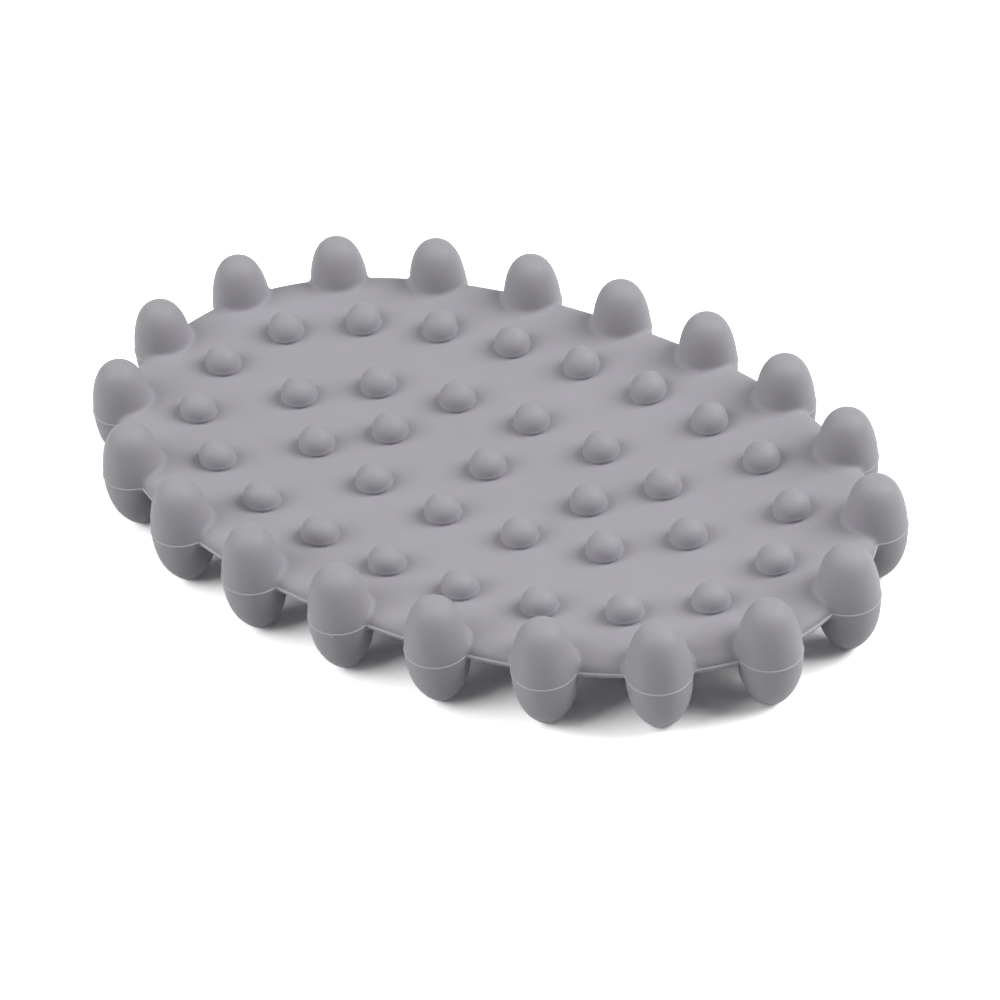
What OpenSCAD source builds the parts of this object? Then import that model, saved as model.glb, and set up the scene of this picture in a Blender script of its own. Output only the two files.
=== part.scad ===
// Oval soap saver of moulded silicone rubber.
// A dished web carries the bar on small domed nubs. Egg-shaped lobes straddle the rim:
// their upper halves keep the bar from sliding off, their lower halves are the feet.
// The frame: origin on the floor under the middle, +X along the length, +Z up.

/* [Overall] */
// Length over the two end lobes
overall_l = 120; // [104:1:140]
// Width over the two side lobes
overall_w = 78.5; // [72:0.5:96]
// Fullness of the oval that the lobes stand on: 2 is a plain ellipse
oval_power = 2.2; // [2:0.05:2.6]

/* [Edge lobes] */
// Lobes round the rim
lobe_count = 20; // [12:4:20]
// Widest diameter of a lobe, at the mould line
lobe_d = 8.7; // [7:0.1:9.5]
// Rise of a lobe above the mould line
lobe_rise = 7.45; // [5:0.05:10]
// Drop of the uncut egg below the mould line
lobe_drop = 9.3; // [7:0.1:12]
// Fullness of the upper half of the egg: 2 is an ellipse
lobe_top_power = 2.2; // [1.8:0.05:2.6]
// Depth of the flat foot cut off the lower tip
foot_cut = 0.3; // [0.1:0.05:0.6]

/* [Web] */
// Thickness of the web
web_t = 2.25; // [1.6:0.05:3]
// Height of the web's rim above the mould line
rim_rise = 1.45; // [0.8:0.05:2]
// Overhang of the rim past the centres of the lobes
rim_out = 0.3; // [0:0.05:1]
// Depth of the dish, from the rim down to the middle
dish_depth = 2.7; // [0.5:0.1:3]
// Flatness of the dish: 2 is a plain bowl, and more is flatter in the middle
dish_power = 2.7; // [2:0.1:3]
// Width of the rolled edge
roll_w = 3.3; // [1.5:0.1:4.5]

/* [Nubs] */
// Diameter of a nub
nub_d = 5.3; // [4:0.1:6.4]
// Height of a nub above the web
nub_h = 3.25; // [2:0.05:4]
// Depth that a nub's root sits in the web
nub_root = 0.55; // [0.5:0.05:0.8]
// Nubs in the outer ring
outer_count = 20; // [12:4:20]
// Distance of the outer ring inside the lobes' ring
outer_inset = 10.8; // [10:0.1:12.5]
// Nubs in the inner ring
inner_count = 12; // [8:4:12]
// Distance of the inner ring inside the lobes' ring
inner_inset = 23.9; // [22:0.1:25.5]
// Nubs in the row along the middle
centre_count = 3; // [1:2:3]
// Spacing of the nubs in that row
centre_pitch = 16.2; // [13:0.1:17]

/* [Hidden] */
silicone_grey = [0.60, 0.59, 0.62];
lobe_grey = [0.56, 0.55, 0.58];
nub_grey = [0.58, 0.57, 0.60];

// The inner ring of nubs is a plain ellipse, and so is the lower half of an egg.
ellipse_power = 2;

lobe_a = (overall_l - lobe_d) / 2;
lobe_b = (overall_w - lobe_d) / 2;
rim_a = lobe_a + rim_out;
rim_b = lobe_b + rim_out;
mould_z = lobe_drop - foot_cut;

// Steps round the web, across its rolled edge, across its dish, and up half an egg
web_steps = 80;
roll_steps = 5;
dish_steps = 5;
egg_steps = 10;
// Steps that measure the length of an oval
measure_steps = 360;
round_fn = 48;

// A number's power that keeps its sign, and a superellipse at an angle
function signed_pow(v, e) = sign(v) * pow(abs(v), e);
function oval_at(a, b, power, angle) =
    [a * signed_pow(cos(angle), 2 / power), b * signed_pow(sin(angle), 2 / power)];

// Points at equal steps along an oval, the first on +X
function spread(a, b, power, count) =
    let (walk = [for (i = [0 : measure_steps]) oval_at(a, b, power, 360 * i / measure_steps)])
    let (run = [for (i = 0, s = 0; i <= measure_steps;
                     s = s + norm(walk[min(i + 1, measure_steps)] - walk[i]), i = i + 1) s])
    let (xs = [for (i = [0 : measure_steps]) [run[i], walk[i].x]])
    let (ys = [for (i = [0 : measure_steps]) [run[i], walk[i].y]])
    [for (k = [0 : count - 1])
        let (s = run[measure_steps] * k / count)
        [lookup(s, xs), lookup(s, ys)]];

lobe_places = spread(lobe_a, lobe_b, oval_power, lobe_count);
outer_places = spread(lobe_a - outer_inset, lobe_b - outer_inset, oval_power, outer_count);
inner_places = spread(lobe_a - inner_inset, lobe_b - inner_inset, ellipse_power, inner_count);
centre_places = [for (k = [0 : centre_count - 1]) [(k - (centre_count - 1) / 2) * centre_pitch, 0]];

// Height of the web's top: an elliptic dish, lowest in the middle
function dish_z(p) =
    mould_z + rim_rise - dish_depth * (1 - pow(norm([p.x / lobe_a, p.y / lobe_b]), dish_power));

// The rim's outline moved inwards, square to itself
function rim_normal(angle) =
    let (p = oval_at(rim_a, rim_b, oval_power, angle))
    let (g = [signed_pow(p.x / rim_a, oval_power - 1) / rim_a,
              signed_pow(p.y / rim_b, oval_power - 1) / rim_b])
    g / norm(g);
function rim_at(angle, inset) =
    oval_at(rim_a, rim_b, oval_power, angle) - inset * rim_normal(angle);
function at_height(p, z) = [p.x, p.y, z];

// The rings of the web, from the middle of its underside, round the rim, to the middle of its top
function under_ring(share) =
    [for (i = [0 : web_steps - 1])
        let (p = share * rim_at(360 * i / web_steps, 0)) at_height(p, dish_z(p) - web_t)];
function roll_ring(turn) =
    [for (i = [0 : web_steps - 1])
        let (p = rim_at(360 * i / web_steps, roll_w * (1 - cos(turn))))
        let (crest = rim_at(360 * i / web_steps, roll_w))
        at_height(p, mould_z + (dish_z(crest) - mould_z) * sin(turn))];
function top_ring(share) =
    [for (i = [0 : web_steps - 1])
        let (p = share * rim_at(360 * i / web_steps, roll_w)) at_height(p, dish_z(p))];

web_rings = concat(
    [for (k = [1 : dish_steps]) under_ring(k / dish_steps)],
    [for (k = [0 : roll_steps]) roll_ring(90 * k / roll_steps)],
    [for (k = [1 : dish_steps - 1]) top_ring(1 - k / dish_steps)]);

function two_digits(k) = str(k < 10 ? "0" : "", k);
function lobe_name(k) = str("edge_lobe_", two_digits(k));
function outer_name(k) = str("outer_nub_", two_digits(k));
function inner_name(k) = str("inner_nub_", two_digits(k));
function centre_name(k) = str("centre_nub_", two_digits(k));

// A closed skin over rings of equal length, with a middle point at each end
module ring_skin(rings, first_middle, last_middle) {
    n = len(rings[0]);
    m = len(rings);
    points = concat([for (ring = rings) each ring], [first_middle, last_middle]);
    first = n * m;
    last = first + 1;
    walls = [for (j = [0 : m - 2], i = [0 : n - 1])
        let (a = j * n + i, b = j * n + (i + 1) % n)
        each [[a, a + n, b], [b, a + n, b + n]]];
    first_fan = [for (i = [0 : n - 1]) [first, i, (i + 1) % n]];
    last_fan = [for (i = [0 : n - 1]) [last, (m - 1) * n + (i + 1) % n, (m - 1) * n + i]];
    polyhedron(points, concat(walls, first_fan, last_fan), convexity = 6);
}

// One half of an egg's outline: half-width r, height h, angles t0 to t1 from its widest point
function egg_arc(r, h, power, t0, t1) =
    [for (k = [0 : egg_steps])
        let (t = t0 + (t1 - t0) * k / egg_steps)
        [r * pow(max(cos(t), 0), 2 / power), h * pow(sin(t), 2 / power)]];

// One lobe: an egg on its mould line, with its lower tip cut flat
module lobe_shape() {
    foot_turn = asin(pow(mould_z / lobe_drop, ellipse_power / 2));
    upper = egg_arc(lobe_d / 2, lobe_rise, lobe_top_power, 0, 90);
    lower = egg_arc(lobe_d / 2, lobe_drop, ellipse_power, 0, foot_turn);
    outline = concat(
        [[0, 0]],
        [for (k = [egg_steps : -1 : 1]) [lower[k].x, mould_z - lower[k].y]],
        [for (k = [0 : egg_steps - 1]) [upper[k].x, mould_z + upper[k].y]],
        [[0, mould_z + lobe_rise]]);
    rotate_extrude($fn = round_fn) polygon(outline);
}

// One nub: a dome on a short round root, from the root's flat end up
module nub_shape() {
    nub_r = nub_d / 2;
    shank = nub_root + nub_h - nub_r;
    cylinder(r = nub_r, h = shank, $fn = round_fn);
    translate([0, 0, shank]) intersection() {
        sphere(r = nub_r, $fn = round_fn);
        translate([-nub_d, -nub_d, 0]) cube(2 * nub_d);
    }
}

module lobe_at(p) {
    translate([p.x, p.y, 0]) lobe_shape();
}

module nub_at(p) {
    translate([p.x, p.y, dish_z(p) - nub_root]) nub_shape();
}

// The dished plate with its rolled rim, cut out where the lobes and the nubs' roots are
module web() {
    middle = dish_z([0, 0]);
    color(silicone_grey) difference() {
        ring_skin(web_rings, [0, 0, middle - web_t], [0, 0, middle]);
        for (p = lobe_places) lobe_at(p);
        for (p = concat(outer_places, inner_places, centre_places)) nub_at(p);
    }
}

module edge_lobe(k) {
    color(lobe_grey) lobe_at(lobe_places[k - 1]);
}

module outer_nub(k) {
    color(nub_grey) nub_at(outer_places[k - 1]);
}

module inner_nub(k) {
    color(nub_grey) nub_at(inner_places[k - 1]);
}

module centre_nub(k) {
    color(nub_grey) nub_at(centre_places[k - 1]);
}

web();
for (k = [1 : lobe_count]) edge_lobe(k);
for (k = [1 : outer_count]) outer_nub(k);
for (k = [1 : inner_count]) inner_nub(k);
for (k = [1 : centre_count]) centre_nub(k);
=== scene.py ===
# %% [markdown]
# # Oval soap saver of moulded silicone rubber
# A soap saver keeps a wet bar of soap off the wash basin. This one is pressed in one shot of soft grey
# silicone in a two-part mould: a dished oval web, twenty egg-shaped lobes astride its rim, and
# thirty-five small domed nubs that the bar lies on.
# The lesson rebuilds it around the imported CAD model, in metres, in the same frame. What it adds is what
# the plain solids lack: the soft fillets where lobes grow out of the web, slightly sharper tips on the
# lobes, the lip and the raised line that the mould's parting leaves, and the skin of the rubber.

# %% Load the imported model
import math

import bmesh
import bpy
from mathutils import Matrix, Vector


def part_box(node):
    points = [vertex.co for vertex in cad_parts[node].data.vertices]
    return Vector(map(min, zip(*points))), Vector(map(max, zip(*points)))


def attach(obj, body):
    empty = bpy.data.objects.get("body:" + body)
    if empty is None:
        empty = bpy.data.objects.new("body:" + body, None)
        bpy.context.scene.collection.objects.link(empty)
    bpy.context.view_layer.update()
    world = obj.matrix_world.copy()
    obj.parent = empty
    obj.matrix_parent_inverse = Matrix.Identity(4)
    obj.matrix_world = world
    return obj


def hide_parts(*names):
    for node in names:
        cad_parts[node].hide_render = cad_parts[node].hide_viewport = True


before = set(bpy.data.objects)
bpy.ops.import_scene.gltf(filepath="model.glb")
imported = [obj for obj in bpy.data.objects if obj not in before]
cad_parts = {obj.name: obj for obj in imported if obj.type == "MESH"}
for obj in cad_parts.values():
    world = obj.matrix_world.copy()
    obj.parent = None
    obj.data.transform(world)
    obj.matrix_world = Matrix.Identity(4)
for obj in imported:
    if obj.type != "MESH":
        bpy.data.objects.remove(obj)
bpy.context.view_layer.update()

# %% [markdown]
# ## The driving sizes
# The mould maker works from a few sizes, in millimetres, and so does this file. The places of lobes and
# nubs are not repeated here: they are read from the boxes of the CAD nodes, so that each form stays
# where its solid is.

# %% Places, read from the CAD nodes
MM = 0.001


def nodes_named(start):
    """Names of the nodes whose name starts so, in order."""
    return sorted(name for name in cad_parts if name.startswith(start))


def places_of(names):
    """The middle of each node in plan, in millimetres."""
    middles = [(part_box(name)[0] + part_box(name)[1]) / 2 / MM for name in names]
    return [Vector((p.x, p.y, 0)) for p in middles]


lobe_nodes = nodes_named("edge_lobe_")
lobe_axes = places_of(lobe_nodes)
LOBE_A = max(p.x for p in lobe_axes)
LOBE_B = max(p.y for p in lobe_axes)
print(len(lobe_axes), "lobes, on an oval of", round(LOBE_A, 2), "by", round(LOBE_B, 2), "mm")

# %% Sizes of the moulding, in millimetres
MOULD_Z = 9.0                       # height of the mould line over the floor
RIM_OUT = 0.3                       # overhang of the rim past the lobes' centres
STEP = 0.14                         # the upper mould half's rim stands back by this
LIP_DEEP = 0.78                     # height of the lip that the lower half leaves
SIZES = {
    "Lobe oval length": LOBE_A,     # half-axes of the oval through the lobes
    "Lobe oval width": LOBE_B,
    "Oval power": 2.2,              # 2 is a plain ellipse
    "Mould line": MOULD_Z,
    "Web thickness": 2.25,
    "Rim rise": 1.45,               # above the mould line
    "Rim overhang": RIM_OUT,
    "Parting step": STEP,
    "Dish depth": 2.7,
    "Dish power": 2.7,              # 2 is a plain bowl, more is flatter in the middle
    "Rolled edge": 3.3,
    "Roll power": 2.0,              # 2 is a plain ellipse, less is nearer to a chamfer
    "Lobe radius": 4.26,
    "Lobe rise": 7.42,              # above the mould line
    "Lobe drop": 9.34,              # of the uncut egg below it
    "Lobe taper": 0.165,            # share by which the upper half narrows, beside its rounding
    "Fillet": 0.62,
}
print("sizes:", SIZES)

# %% [markdown]
# ## The camera
# It stands where the photograph was taken from: a long lens, 36 degrees round from the front and 40
# degrees up, rolled by 5 degrees. The point it looks at lies on the mould plane.

# %% Camera
CAMERA_TURN = math.radians(36.346)
CAMERA_LIFT = math.radians(39.651)
CAMERA_ROLL = math.radians(4.968)
CAMERA_DISTANCE = 462.27
FOCAL_PIXELS = 3444.5           # focal length, in pixels of a picture 1000 wide
SENSOR = 36.0
looked_at = Vector((5.855, -5.862, MOULD_Z))

away = Vector((math.sin(CAMERA_TURN) * math.cos(CAMERA_LIFT),
               -math.cos(CAMERA_TURN) * math.cos(CAMERA_LIFT),
               math.sin(CAMERA_LIFT)))
level = (-away).cross(Vector((0, 0, 1))).normalized()
down = (-away).cross(level)
right = math.cos(CAMERA_ROLL) * level + math.sin(CAMERA_ROLL) * down
up = math.sin(CAMERA_ROLL) * level - math.cos(CAMERA_ROLL) * down

lens = bpy.data.cameras.new("photo_camera")
lens.sensor_width = SENSOR
lens.lens = FOCAL_PIXELS * SENSOR / 1000
lens.clip_start = 0.01
camera = bpy.data.objects.new("photo_camera", lens)
camera.matrix_world = Matrix.Translation((looked_at + CAMERA_DISTANCE * away) * MM) @ Matrix(
    (right, up, away)).transposed().to_4x4()
bpy.context.scene.collection.objects.link(camera)
bpy.context.scene.camera = camera
print("camera at", tuple(round(v, 3) for v in camera.location), "lens", round(lens.lens, 1), "mm")

# %% [markdown]
# ## Sums in a node tree
# Both the shapes and the finish are worked out by node trees. A sum of ten nodes is hard to read as
# boxes and links, so a small class wraps a socket and lets Python write the sum: every +, -, * adds one
# Math node. `node` adds any other node from its type, its settings and what goes into its sockets.
# Where a sum divides, a small floor such as at_least(0.01) keeps the divisor away from zero.

# %% A socket that can be added and multiplied
def set_stops(ramp, stops):
    """Gives a colour ramp its stops: (place, colour) pairs."""
    while len(ramp.elements) < len(stops):
        ramp.elements.new(1.0)
    for element, (place, colour) in zip(ramp.elements, stops):
        element.position = place
        element.color = colour


class Flow:
    """One output of a node, usable in Python sums."""

    def __init__(self, tree, socket=None):
        self.tree = tree
        self.socket = socket

    def node(self, kind, settings=None, inputs=None, out=0):
        """Adds a node: its type, its settings, and the values or links of its sockets."""
        made = self.tree.nodes.new(kind)
        for name, value in (settings or {}).items():
            if name == "stops":
                set_stops(made.color_ramp, value)
            else:
                setattr(made, name, value)
        for key, value in (inputs or {}).items():
            if isinstance(value, Flow):
                self.tree.links.new(value.socket, made.inputs[key])
            else:
                made.inputs[key].default_value = value
        return Flow(self.tree, made.outputs[out] if made.outputs else None)

    def other(self, out):
        """Another output of the same node."""
        return Flow(self.tree, self.socket.node.outputs[out])

    def math(self, operation, *values):
        """Adds one Math node that starts from this number."""
        return self.node("ShaderNodeMath", {"operation": operation}, dict(enumerate((self,) + values)))

    def __add__(self, value):
        return self.math("ADD", value)

    def __sub__(self, value):
        return self.math("SUBTRACT", value)

    def __mul__(self, value):
        return self.math("MULTIPLY", value)

    def __truediv__(self, value):
        return self.math("DIVIDE", value)

    def __pow__(self, value):
        return self.math("POWER", value)

    def __neg__(self):
        return self * -1.0

    def __abs__(self):
        return self.math("ABSOLUTE")

    def __rsub__(self, value):
        return self * -1.0 + value

    def __rtruediv__(self, value):
        return self ** -1.0 * value

    __radd__ = __add__
    __rmul__ = __mul__

    def above(self, value):
        return self.math("GREATER_THAN", value)

    def at_least(self, value):
        return self.math("MAXIMUM", value)

    def at_most(self, value):
        return self.math("MINIMUM", value)

    def rise(self, low, high):
        """0 below low, 1 above high, and a smooth step between."""
        return self.node("ShaderNodeMapRange", {"interpolation_type": "SMOOTHSTEP"},
                         {0: self, 1: low, 2: high})

    def choose(self, off, on):
        """off where this is 0, on where it is 1."""
        return off + self * (on - off)

    def signed_power(self, power):
        """A power that keeps the sign."""
        return self.math("SIGN") * abs(self) ** power

    def axes(self):
        """The three numbers of a vector."""
        x = self.node("ShaderNodeSeparateXYZ", {}, {0: self})
        return x, x.other(1), x.other(2)

    def scaled(self, factor):
        """This vector times a number."""
        return self.node("ShaderNodeVectorMath", {"operation": "SCALE"}, {0: self, "Scale": factor})

    def moved(self, offset):
        """This vector plus another."""
        return self.node("ShaderNodeVectorMath", {"operation": "ADD"}, {0: self, 1: offset})


def vector_of(x, y, z):
    """A vector from three numbers, of which the first is a Flow."""
    return x.node("ShaderNodeCombineXYZ", {}, {0: x, 1: y, 2: z})


def round_max(a, b, blend):
    """The larger of two gaps, with the edge between them rounded."""
    near = (blend - abs(a - b)).at_least(0.0)
    return a.at_least(b) + near * near / (4.0 * blend)


def round_min(a, b, blend):
    """The smaller of two gaps, with a fillet in the corner between them."""
    near = (blend - abs(a - b)).at_least(0.0)
    return a.at_most(b) - near * near / (4.0 * blend)


# %% [markdown]
# ## The silicone
# Fresh silicone is matt and a little milky. The photo shows no gloss, so the skin is taken to have the
# very fine even grain of a blasted mould, with a broad soft sheen. Handling and dust give it faint uneven
# patches. The thin flash line gets a paler tone of the same finish: partly the lighter colour of thin
# rubber, partly a painted highlight of the light that the line catches.
# A Principled shader carries it: noise moves the colour and roughness by a few per cent, and two noises
# of different size feed one bump.

# %% Material
CLOUD_SCALE = 38.0              # broad patches of tone, some 26 mm across
PATCH_SCALE = 240.0             # marks of handling, some 4 mm across
GRAIN_SCALE = 5200.0            # grain of the skin, some 0.2 mm across
TONE_CHANGE = 0.05              # share by which the colour goes up and down
ROUGHNESS = 0.58
BUMP_DEPTH = 0.00006            # metres
SILICONE_IOR = 1.41
SILICONE_GREY = (0.375, 0.365, 0.395)


def silicone(name, colour, paler=0.0):
    """A procedural silicone finish: colour is the plain tone, paler lifts it towards white."""
    material = bpy.data.materials.new(name)
    material.use_nodes = True
    tree = material.node_tree
    tree.nodes.clear()
    start = Flow(tree)
    place = start.node("ShaderNodeTexCoord", out=3)
    cloud = start.node("ShaderNodeTexNoise", {}, {"Vector": place, "Scale": CLOUD_SCALE, "Detail": 3.0})
    patch = start.node("ShaderNodeTexNoise", {}, {"Vector": place, "Scale": PATCH_SCALE, "Detail": 4.0})
    grain = start.node("ShaderNodeTexNoise", {}, {"Vector": place, "Scale": GRAIN_SCALE, "Detail": 2.0})
    tone = (cloud - 0.5) * 0.5 + (patch - 0.5) * 0.3 + 0.5
    # On the flash line, paler lifts the tone towards white: partly its own lighter colour, partly a painted
    # highlight.
    low = [c * (1 - paler) + paler for c in colour]
    dark = (*(c * (1 - TONE_CHANGE) for c in low), 1)
    light = (*(c * (1 + TONE_CHANGE) for c in low), 1)
    ramp = start.node("ShaderNodeValToRGB", {"stops": [(0.3, dark), (0.7, light)]}, {0: tone})
    rough = (patch - 0.5) * 0.12 + (grain - 0.5) * 0.10 + ROUGHNESS
    height = grain * 0.6 + patch * 0.4
    bump = start.node("ShaderNodeBump", {}, {
        "Strength": 0.22, "Distance": BUMP_DEPTH, "Height": height})
    shader = start.node("ShaderNodeBsdfPrincipled", {}, {
        "Base Color": ramp, "Roughness": rough, "Normal": bump, "IOR": SILICONE_IOR,
        "Sheen Weight": 0.12, "Sheen Roughness": 0.6})
    start.node("ShaderNodeOutputMaterial", {}, {"Surface": shader})
    return material


skin = silicone("silicone_grey", SILICONE_GREY)
# The flash line and the nibs get a paler tone: partly thin rubber's own colour, partly a painted highlight.
flash_skin_and_painted_highlight = silicone("silicone_flash_painted_highlight", SILICONE_GREY, paler=0.24)
print("materials:", skin.name, flash_skin_and_painted_highlight.name)

# %% [markdown]
# ## The rule of the moulding
# Lobes, web and fillets follow one rule: how far a place lies outside the rubber. Where that gap is
# zero is the skin. Two gaps joined by a rounded minimum leave a fillet in the corner between them,
# just as a mould cutter's ball-nosed tool does. The rule is written once, as a node group, and used by
# the trees that make the web, the lobes and the mould line.

# %% A node tree with named sizes
def new_tree(name, sizes, gives=("Skin",), kind="NodeSocketGeometry"):
    """A Geometry Nodes tree, its inputs by name, and the node that takes its results."""
    tree = bpy.data.node_groups.new(name, "GeometryNodeTree")
    tree.interface.new_socket("Places", in_out="INPUT", socket_type="NodeSocketGeometry")
    for label, value in sizes.items():
        socket = tree.interface.new_socket(label, in_out="INPUT", socket_type=(
            "NodeSocketVector" if isinstance(value, tuple) else
            "NodeSocketMaterial" if isinstance(value, bpy.types.Material) else "NodeSocketFloat"))
        socket.default_value = value
    for label in gives:
        tree.interface.new_socket(label, in_out="OUTPUT", socket_type=kind)
    entry = tree.nodes.new("NodeGroupInput")
    size = {socket.name: Flow(tree, socket) for socket in entry.outputs if socket.name}
    return tree, size, tree.nodes.new("NodeGroupOutput")


# %% The web's gap
UNDER_ROUND = 0.4       # millimetres of rounding where the rim meets the underside
STEP_BLEND = 0.1        # millimetres over and under the mould line, over which the step comes in
LEAST_CREST = 0.3       # millimetres; the rolled edge is never lower than this


def dish_height(x, y, size):
    """Height of the web's top over the floor, before its edge is rolled."""
    bowl = (x / size["Lobe oval length"]) ** 2.0 + (y / size["Lobe oval width"]) ** 2.0
    rim = size["Mould line"] + size["Rim rise"]
    return rim - size["Dish depth"] * (1.0 - bowl ** (size["Dish power"] / 2.0))


def web_gap(place, size):
    """Gap to the dished web with its rolled edge. Its rim stands prouder below the mould line."""
    x, y, z = place.axes()
    power, mould = size["Oval power"], size["Mould line"]
    rim_a = size["Lobe oval length"] + size["Rim overhang"]
    rim_b = size["Lobe oval width"] + size["Rim overhang"]
    along, across = abs(x) / rim_a, abs(y) / rim_b
    share = ((along ** power + across ** power) ** (1.0 / power)).at_least(0.001)
    pull_x = (along / share) ** (power - 1.0) / rim_a
    pull_y = (across / share) ** (power - 1.0) / rim_b
    inset = (1.0 - share) / (pull_x * pull_x + pull_y * pull_y) ** 0.5
    inset = inset - (z - mould).rise(-STEP_BLEND, STEP_BLEND) * size["Parting step"]
    dish = dish_height(x, y, size)
    crest = (dish - mould).at_least(LEAST_CREST)
    bend = size["Roll power"]
    turn = (1.0 - inset / size["Rolled edge"]).at_least(0.0)
    lift = (z - mould).at_least(0.0) / crest
    ring = ((turn ** bend + lift ** bend) ** (1.0 / bend)).at_least(0.05)
    slope_in = (turn / ring) ** (bend - 1.0) / size["Rolled edge"]
    slope_up = (lift / ring) ** (bend - 1.0) / crest
    rolled = (ring - 1.0) / ((slope_in * slope_in + slope_up * slope_up) ** 0.5).at_least(0.05)
    top = turn.above(0.0).choose(z - dish, rolled)
    return round_max(top, dish - size["Web thickness"] - z, UNDER_ROUND)


# %% The lobes' gap
UPPER_EGG = (2.85, 2.85, 1 / 2.85)      # powers of width, height and their sum
LOWER_EGG = (4 / 3, 2.7, 0.75)
FOOT_ROUND = 0.35       # millimetres of rounding round the foot


def lobe_gap(place, size, axes):
    """Gap to the nearest lobe: an egg with a blunt top, its foot cut flat."""
    x, y, z = place.axes()
    flat = vector_of(x * MM, y * MM, 0.0)
    nearest = place.node("GeometryNodeSampleNearest", {}, {0: axes, 1: flat})
    at = place.node("GeometryNodeInputPosition")
    axis = place.node("GeometryNodeSampleIndex", {"data_type": "FLOAT_VECTOR"},
                      {0: axes, 1: at, 2: nearest}).scaled(1 / MM)
    axis_x, axis_y, _ = axis.axes()
    dx, dy = x - axis_x, y - axis_y
    lift = z - size["Mould line"]
    upper = lift.above(0.0)
    wide, high, whole = (upper.choose(low, top) for low, top in zip(LOWER_EGG, UPPER_EGG))
    height = upper.choose(size["Lobe drop"], size["Lobe rise"])
    climb = abs(lift) / height
    radius = size["Lobe radius"] * (1.0 - size["Lobe taper"] * upper * climb)
    reach = (dx * dx + dy * dy) ** 0.5 / radius
    total = (reach ** wide + climb ** high).at_least(0.01)
    slope_out = wide * reach ** (wide - 1.0) / radius
    slope_up = high * climb ** (high - 1.0) / height
    slope = whole * total ** (whole - 1.0) * (slope_out ** 2.0 + slope_up ** 2.0) ** 0.5
    egg = (total ** whole - 1.0) / slope.at_least(0.02)
    return round_max(egg, -z, FOOT_ROUND)


# %% The rule as a node group
rule, size, result = new_tree("moulding_gap", {"Place": (0.0, 0.0, 0.0), **SIZES},
                              ("Web", "Lobe", "Both"), "NodeSocketFloat")
to_web = web_gap(size["Place"], size)
to_lobe = lobe_gap(size["Place"], size, size["Places"])
for label, gap in {"Web": to_web, "Lobe": to_lobe,
                   "Both": round_min(to_web, to_lobe, size["Fillet"])}.items():
    rule.links.new(gap.socket, result.inputs[label])
print("rule of the moulding:", len(rule.nodes), "nodes")


def gaps_at(place, size):
    """Gaps to the web, to the lobes and to both with their fillets, at a place in millimetres."""
    inputs = {label: size[label] for label in ("Places", *SIZES)}
    web = place.node("GeometryNodeGroup", {"node_tree": rule}, {"Place": place, **inputs})
    return web, web.other(1), web.other(2)


# %% From a rule to a skin
VOXEL = 0.385           # millimetres; the web and the lobes share it, so that their skins agree
NUDGE = 0.01            # millimetres, over which a gap's slope is measured
MARGIN = 3              # voxels left free round the object


def settled(mesh, gap_at, rounds=2):
    """Moves every point of a mesh down the gap's slope until it lies on the skin."""
    for _ in range(rounds):
        place = mesh.node("GeometryNodeInputPosition").scaled(1 / MM)
        here = gap_at(place)
        sides = [(gap_at(place.moved(tuple(NUDGE * (i == k) for i in range(3)))) - here) / NUDGE
                 for k in range(3)]
        steep = sum(s * s for s in sides)
        step = vector_of(*sides).scaled(-1.0 * MM * here / steep.at_least(0.1))
        mesh = mesh.node("GeometryNodeSetPosition", {}, {0: mesh, 3: step})
    return mesh


def skin_of(start, gap_at):
    """Fills the object's box with voxels of a gap, and draws the skin where the gap is zero."""
    boxes = [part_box(name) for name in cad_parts]
    low = Vector([min(box[0][k] for box in boxes) - MARGIN * VOXEL * MM for k in range(3)])
    high = Vector([max(box[1][k] for box in boxes) + MARGIN * VOXEL * MM for k in range(3)])
    counts = [math.ceil(side / (VOXEL * MM)) for side in high - low]
    place = start.node("GeometryNodeInputPosition").scaled(1 / MM)
    block = start.node("GeometryNodeVolumeCube", {}, {
        "Density": -gap_at(place), "Background": -1.0, "Min": tuple(low), "Max": tuple(high),
        "Resolution X": counts[0], "Resolution Y": counts[1], "Resolution Z": counts[2]})
    mesh = start.node("GeometryNodeVolumeToMesh", {}, {0: block, "Threshold": 0.0})
    return settled(mesh, gap_at)


def finish_tree(tree, result, mesh, material):
    """Ends a tree: real geometry, smooth shading and its material."""
    mesh = mesh.node("GeometryNodeRealizeInstances", {}, {0: mesh})
    mesh = mesh.node("GeometryNodeSetShadeSmooth", {}, {0: mesh})
    mesh = mesh.node("GeometryNodeSetMaterial", {}, {0: mesh, "Material": material})
    tree.links.new(mesh.socket, result.inputs[0])


def grown(name, places, tree, values):
    """Runs a tree on loose points and keeps the plain mesh that it grows."""
    seed = bpy.data.meshes.new(name)
    seed.from_pydata([p * MM for p in places], [], [])
    piece = bpy.data.objects.new(name, seed)
    bpy.context.scene.collection.objects.link(piece)
    modifier = piece.modifiers.new("grow", "NODES")
    modifier.node_group = tree
    for item in tree.interface.items_tree:
        if item.in_out == "INPUT" and item.name in values:
            modifier[item.identifier] = values[item.name]
    bpy.context.view_layer.update()
    mesh = bpy.data.meshes.new_from_object(piece.evaluated_get(bpy.context.evaluated_depsgraph_get()))
    piece.modifiers.clear()
    piece.data = mesh
    triangles = sum(len(face.vertices) - 2 for face in mesh.polygons)
    corners = [v.co for v in mesh.vertices]
    print(name, len(corners), "points", triangles, "triangles, box",
          [round(f(c[k] for c in corners) / MM, 2) for f in (min, max) for k in range(3)])
    return piece


# %% [markdown]
# ## The web
# On the real object the web is one dished plate, 2.25 mm thick, whose edge is rolled down to the mould
# line. It could be lathed and stretched, but its rolled edge keeps one width round an oval that isn't
# a circle. So it is drawn from the rule.

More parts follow.
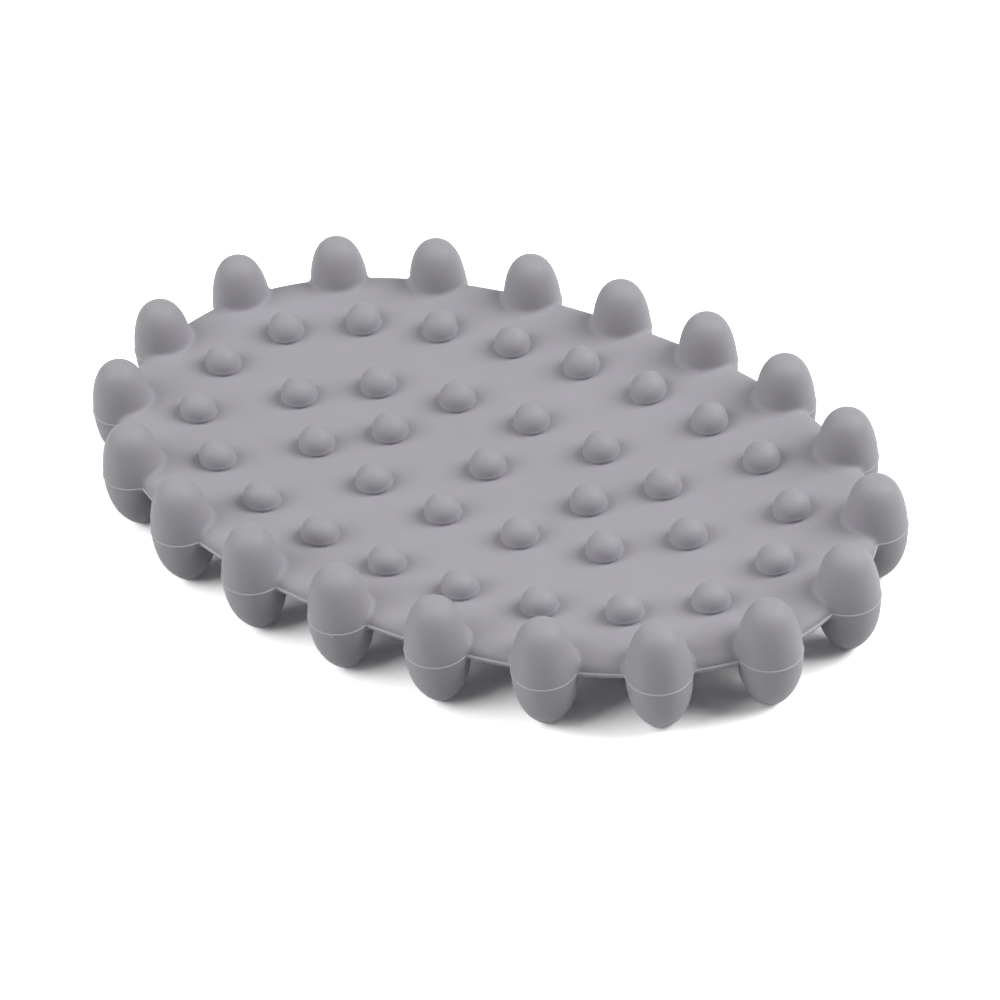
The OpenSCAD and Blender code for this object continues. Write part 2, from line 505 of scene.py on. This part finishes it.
# %% Web
web_tree, size, result = new_tree("web", {**SIZES, "Skin": skin})
finish_tree(web_tree, result, skin_of(size["Skin"], lambda p: gaps_at(p, size)[0]), size["Skin"])
web = grown("dished_web", lobe_axes, web_tree,
            {**SIZES, "Rim overhang": RIM_OUT - STEP, "Parting step": 0.0, "Skin": skin})

# %% [markdown]
# ## The lip
# The lower half of the mould is a hair larger than the upper one, so under the mould line the rim
# stands out as a thin lip. It is a rounded strip swept along the rim's oval.

# %% Lip
def oval_ring(start, steps, half_x, half_y, power):
    """A ring of points on a full oval, in metres, from half-axes in millimetres."""
    ring = start.node("GeometryNodeCurvePrimitiveCircle", {}, {"Resolution": steps, "Radius": 1.0})
    x, y, _ = ring.node("GeometryNodeInputPosition").axes()
    x = x.signed_power(2.0 / power) * half_x
    y = y.signed_power(2.0 / power) * half_y
    return ring.node("GeometryNodeSetPosition", {}, {0: ring, 2: vector_of(x, y, 0.0).scaled(MM)})


def shifted(mesh, x, z):
    """The same geometry, moved by millimetres."""
    return mesh.node("GeometryNodeSetPosition", {}, {
        0: mesh, 3: size["Mould line"].node("ShaderNodeCombineXYZ", {}, {0: x, 2: z}).scaled(MM)})


def rim_ring(size, steps, power):
    """A ring of points along the rim."""
    return oval_ring(size["Skin"], steps, size["Lobe oval length"] + size["Rim overhang"],
                     size["Lobe oval width"] + size["Rim overhang"], power)


LIP_WIDE = 0.9          # millimetres, of which most is hidden in the web
LIP_STEPS = 720         # round the rim
LIP_ROUND = 24          # steps round the strip
LIP_SQUARE = 5.0        # power of the strip's outline: nearly a rectangle with soft corners
lip_tree, size, result = new_tree("lip", {**SIZES, "Lip depth": LIP_DEEP, "Skin": skin})
path = rim_ring(size, LIP_STEPS, size["Oval power"])
path = shifted(path, 0.0, size["Mould line"] - size["Lip depth"] / 2.0)
strip = oval_ring(size["Skin"], LIP_ROUND, LIP_WIDE / 2, size["Lip depth"] / 2.0, LIP_SQUARE)
strip = shifted(strip, -LIP_WIDE / 2, 0.0)
finish_tree(lip_tree, result, path.node("GeometryNodeCurveToMesh", {}, {
    "Curve": path, "Profile Curve": strip}), size["Skin"])
lip = grown("rim_lip", lobe_axes, lip_tree, {**SIZES, "Skin": skin})

# %% [markdown]
# ## The lobes
# Each lobe is an egg with the web's edge running into it, and a fillet all the way round that joint.
# The lobes' skin is the joint rule, kept only near the eggs. Past the fillet its collar dips a few
# hundredths of a millimetre into the web, so that it leaves no step.

# %% Lobes
COLLAR = 1.5            # width of a lobe's collar, as a share of the fillet
DIP = 0.15              # slope at which the collar leaves the web past the fillet
COLLAR_ROUND = 0.1      # millimetres of rounding at the collar's edge


def collared_lobe(place, size):
    """Gap to the lobes and their collars alone."""
    web, lobe, _ = gaps_at(place, size)
    width = size["Fillet"] * COLLAR
    sunk = web + (lobe - size["Fillet"]).at_least(0.0) * DIP
    return round_max(round_min(sunk, lobe, size["Fillet"]), lobe - width, COLLAR_ROUND)


lobe_tree, size, result = new_tree("lobes", {**SIZES, "Skin": skin})
finish_tree(lobe_tree, result, skin_of(size["Skin"], lambda p: collared_lobe(p, size)), size["Skin"])
lobes = grown("edge_lobes", lobe_axes, lobe_tree, {**SIZES, "Skin": skin})

# %% [markdown]
# ## The nubs
# The nubs are small domes on short shanks, all alike, in two rings and a row. Each flares a little
# where it meets the web, and its root is hidden in it. They repeat, so one nub is made from a sphere
# by a rule and is set on every place as an instance.

# %% Nubs
NUB_SIZES = {"Dome radius": 2.5, "Base radius": 2.65, "Height": 3.25, "Root": 0.5,
             "Crease": 0.24, "Crease height": 0.15}
CLOSING = 0.1           # share of the sphere's lower half that closes the root
NOTCH_TOP = 2.5         # the crease ends at this many crease heights over the web
NUB_SEGMENTS = 40       # of the sphere that a nub is made from
NUB_RINGS = 48


def nub_shape(size):
    """A sphere whose upper half is the dome, and whose lower half becomes shank, crease and root."""
    ball = size["Height"].node("GeometryNodeMeshUVSphere", {}, {
        "Segments": NUB_SEGMENTS, "Rings": NUB_RINGS, "Radius": 1.0})
    x, y, z = ball.node("GeometryNodeInputPosition").axes()
    wide = ((x * x + y * y) ** 0.5).at_least(0.0001)
    fall = (-z).at_least(0.0).math("ARCSINE") * (2 / math.pi)
    deep = (fall / (1 - CLOSING)).at_most(1.0)
    shank = size["Height"] - size["Dome radius"]
    height = shank + z.at_least(0.0) * size["Dome radius"] - deep * (shank + size["Root"])
    widening = size["Base radius"] - size["Dome radius"]
    flare = widening * (1.0 - height / shank).at_least(0.0).at_most(1.0)
    notch = (NOTCH_TOP - height / size["Crease height"]).at_least(0.0).at_most(1.0)
    closing = ((1.0 - fall) / CLOSING).at_most(1.0)
    side = (size["Dome radius"] + flare - notch * size["Crease"]) * closing
    radius = z.above(0.0).choose(side, wide * size["Dome radius"])
    out = radius / wide
    return ball.node("GeometryNodeSetPosition", {}, {
        0: ball, 2: vector_of(x * out, y * out, height).scaled(MM)})


def on_dish(mesh, size):
    """Lifts a mesh by the dish's height under each of its points."""
    x, y, _ = mesh.node("GeometryNodeInputPosition").scaled(1 / MM).axes()
    return mesh.node("GeometryNodeSetPosition", {}, {
        0: mesh, 3: vector_of(x * 0.0, 0.0, dish_height(x, y, size)).scaled(MM)})


nub_tree, size, result = new_tree("nubs", {**SIZES, **NUB_SIZES, "Skin": skin})
copies = size["Height"].node("GeometryNodeInstanceOnPoints", {}, {
    "Points": size["Places"], "Instance": nub_shape(size)})
copies = copies.node("GeometryNodeRealizeInstances", {}, {0: copies})
finish_tree(nub_tree, result, on_dish(copies, size), size["Skin"])
nub_pieces = {}
for ring in ("outer", "inner", "centre"):
    names = nodes_named(ring + "_nub_")
    nub_pieces[ring] = grown(ring + "_nubs", places_of(names), nub_tree,
                             {**SIZES, **NUB_SIZES, "Skin": skin}), names

# %% [markdown]
# ## The mould line
# Where the two halves of the mould met, a little rubber crept out. It stands as a fine raised line
# round every lobe and along the top of the rim's lip. The line follows the joint rule's outline at the
# height of the mould line: points on the rim's oval move straight out to it, then a bead is swept along.

# %% Mould line
LINE = {"Bead": 0.17, "Bead sunk": 0.09}       # radius, and how deep its middle lies, in millimetres
REACH = 4.6             # millimetres, more than any place of the outline lies outside the rim
HALVINGS = 13           # of the step by which a point looks for the outline
RING_POINTS = 20000     # on the rim, before they are let out
LINE_POINTS = 3600      # along the finished line
LINE_ROUND = 8          # steps round the bead


def let_out(ring, size):
    """Moves a ring's points straight out from the rim onto the moulding's outline."""
    ring = ring.node("GeometryNodeStoreNamedAttribute", {"data_type": "FLOAT_VECTOR"}, {
        0: ring, "Name": "outwards", "Value": ring.node("GeometryNodeInputNormal")})
    outwards = ring.node("GeometryNodeInputNamedAttribute", {"data_type": "FLOAT_VECTOR"}, {
        "Name": "outwards"})
    step = REACH / 2 * MM
    ring = ring.node("GeometryNodeSetPosition", {}, {0: ring, 3: outwards.scaled(step)})
    for _ in range(HALVINGS):
        step /= 2
        place = ring.node("GeometryNodeInputPosition").scaled(1 / MM)
        outside = (gaps_at(place, size)[2] + size["Bead sunk"]).above(0.0)
        ring = ring.node("GeometryNodeSetPosition", {}, {
            0: ring, 3: outwards.scaled(outside.choose(step, -step))})
    return ring


line_tree, size, result = new_tree("mould_line", {**SIZES, **LINE, "Skin": skin})
ring = shifted(rim_ring(size, RING_POINTS, size["Oval power"]), 0.0, size["Mould line"] - size["Bead"])
ring = let_out(ring, size)
ring = ring.node("GeometryNodeResampleCurve", {}, {"Curve": ring, "Count": LINE_POINTS})
bead = ring.node("GeometryNodeCurvePrimitiveCircle", {}, {
    "Resolution": LINE_ROUND, "Radius": size["Bead"] * MM})
finish_tree(line_tree, result, ring.node("GeometryNodeCurveToMesh", {}, {
    "Curve": ring, "Profile Curve": bead}), size["Skin"])
# The line's paler finish is partly a painted highlight.
line = grown("mould_line", lobe_axes, line_tree, {**SIZES, **LINE, "Skin": flash_skin_and_painted_highlight})

# %% [markdown]
# ## Flash nibs
# In two places the flash tore off unevenly, and left a small nib on the line. A nib is a little drop
# of rubber, set by the lobe that it is on and by how far round from the camera's side it sits.

# %% Flash nibs
# Each nib: its lobe, degrees to the right as the camera sees it, and its radius in millimetres
NIBS = [("edge_lobe_16", -16, 0.30), ("edge_lobe_13", 12, 0.22)]
NIB_SUNK = 0.6          # share of its radius that a nib's middle lies inside the lobe's skin
NIB_STRETCH = 1.5       # a drop is this much taller than wide
front = Vector((away.x, away.y, 0)).normalized()


def nib(shape, lobe, turn, radius):
    """Adds one drop to a mesh in the making, hanging on the mould line."""
    turn = math.radians(turn)
    out = math.cos(turn) * front + math.sin(turn) * level
    middle = lobe_axes[lobe_nodes.index(lobe)] + (SIZES["Lobe radius"] - NIB_SUNK * radius) * out
    middle.z = MOULD_Z - NIB_STRETCH * radius
    place = Matrix.Translation(middle * MM) @ Matrix.Diagonal((1, 1, NIB_STRETCH, 1))
    bmesh.ops.create_icosphere(shape, subdivisions=3, radius=radius * MM, matrix=place)


drops = bmesh.new()
for lobe, turn, radius in NIBS:
    nib(drops, lobe, turn, radius)
nib_mesh = bpy.data.meshes.new("flash_nibs")
drops.to_mesh(nib_mesh)
drops.free()
nib_mesh.shade_smooth()
# The nibs share the flash's paler tone, which is partly a painted highlight.
nib_mesh.materials.append(flash_skin_and_painted_highlight)
nibs = bpy.data.objects.new("flash_nibs", nib_mesh)
bpy.context.scene.collection.objects.link(nibs)
print(len(NIBS), "flash nibs,", len(nib_mesh.polygons), "triangles")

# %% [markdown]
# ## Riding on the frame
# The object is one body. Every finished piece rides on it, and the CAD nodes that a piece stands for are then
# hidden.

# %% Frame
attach(web, "root")
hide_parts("web")
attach(lobes, "root")
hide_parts(*lobe_nodes)
for piece, names in nub_pieces.values():
    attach(piece, "root")
    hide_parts(*names)
for piece in (lip, line, nibs):
    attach(piece, "root")
print("riding on root: the web, the lobes,", len(nub_pieces), "rings of nubs, the lip, the line and the nibs")

# %% [markdown]
# ## Floor and light
# A product photograph on white: a white floor, a large soft box on each side and a faint one overhead.
# The side boxes leave the short soft shadows left and right of every nub. The floor is no larger than
# it has to be: further out it would turn grey, and past its edge the world shows the same white.

# %% Floor
FLOOR_BOUNCE = 0.5      # how much of its light the floor throws back at the moulding
FLOOR_SEEN = 2.3        # seen or mirrored it is lighter, so that it clears to white past the shadow
FLOOR_HALF = 0.5        # metres to its edges, where it is still white, as the world behind it is


def seen_ray(start):
    """1 for a ray from the camera, or by way of a mirror or glass, and 0 for a ray that lights."""
    path = start.node("ShaderNodeLightPath")
    return path.at_least(path.other(3)).at_least(path.other(6))


floor_mesh = bpy.data.meshes.new("floor")
floor_corners = [(x * FLOOR_HALF, y * FLOOR_HALF, 0) for x, y in ((-1, -1), (1, -1), (1, 1), (-1, 1))]
floor_mesh.from_pydata(floor_corners, [], [(0, 1, 2, 3)])
floor = bpy.data.objects.new("floor", floor_mesh)
bpy.context.scene.collection.objects.link(floor)
floor_material = bpy.data.materials.new("white_floor")
floor_material.use_nodes = True
floor_material.node_tree.nodes.clear()
start = Flow(floor_material.node_tree)
paint = start.node("ShaderNodeBsdfDiffuse", {}, {
    "Color": seen_ray(start).choose(FLOOR_BOUNCE, FLOOR_SEEN)})
start.node("ShaderNodeOutputMaterial", {}, {"Surface": paint})
floor_mesh.materials.append(floor_material)
print("floor:", 2 * FLOOR_HALF, "m square")

# %% Lights
LIGHT_DISTANCE = 0.95           # metres from the moulding's middle
WORLD_FILL = 0.04               # strength of the world's light on the moulding


def soft_box(name, turn, lift, size, power):
    """A square soft light aimed at the moulding, at angles from the camera's side and from the floor."""
    turn, lift = math.radians(turn), math.radians(lift)
    flat = math.cos(turn) * front + math.sin(turn) * level
    place = LIGHT_DISTANCE * (math.cos(lift) * flat + math.sin(lift) * Vector((0, 0, 1)))
    light = bpy.data.lights.new(name, "AREA")
    light.shape = "SQUARE"
    light.size = size
    light.energy = power
    box = bpy.data.objects.new(name, light)
    box.location = place
    box.rotation_euler = place.to_track_quat("Z", "Y").to_euler()
    bpy.context.scene.collection.objects.link(box)
    print(name, size, "m wide,", power, "W")


soft_box("left_box", -76, 42, 0.7, 5.4)
soft_box("right_box", 90, 42, 0.64, 7.7)
soft_box("top_box", 0, 88, 0.7, 0.7)

world = bpy.data.worlds.new("studio")
bpy.context.scene.world = world
world.use_nodes = True
world.node_tree.nodes.clear()
start = Flow(world.node_tree)
sky = start.node("ShaderNodeBackground", {}, {
    "Color": (1, 1, 1, 1), "Strength": seen_ray(start).choose(WORLD_FILL, 1.0)})
start.node("ShaderNodeOutputWorld", {}, {"Surface": sky})
bpy.context.scene.view_settings.view_transform = "Standard"
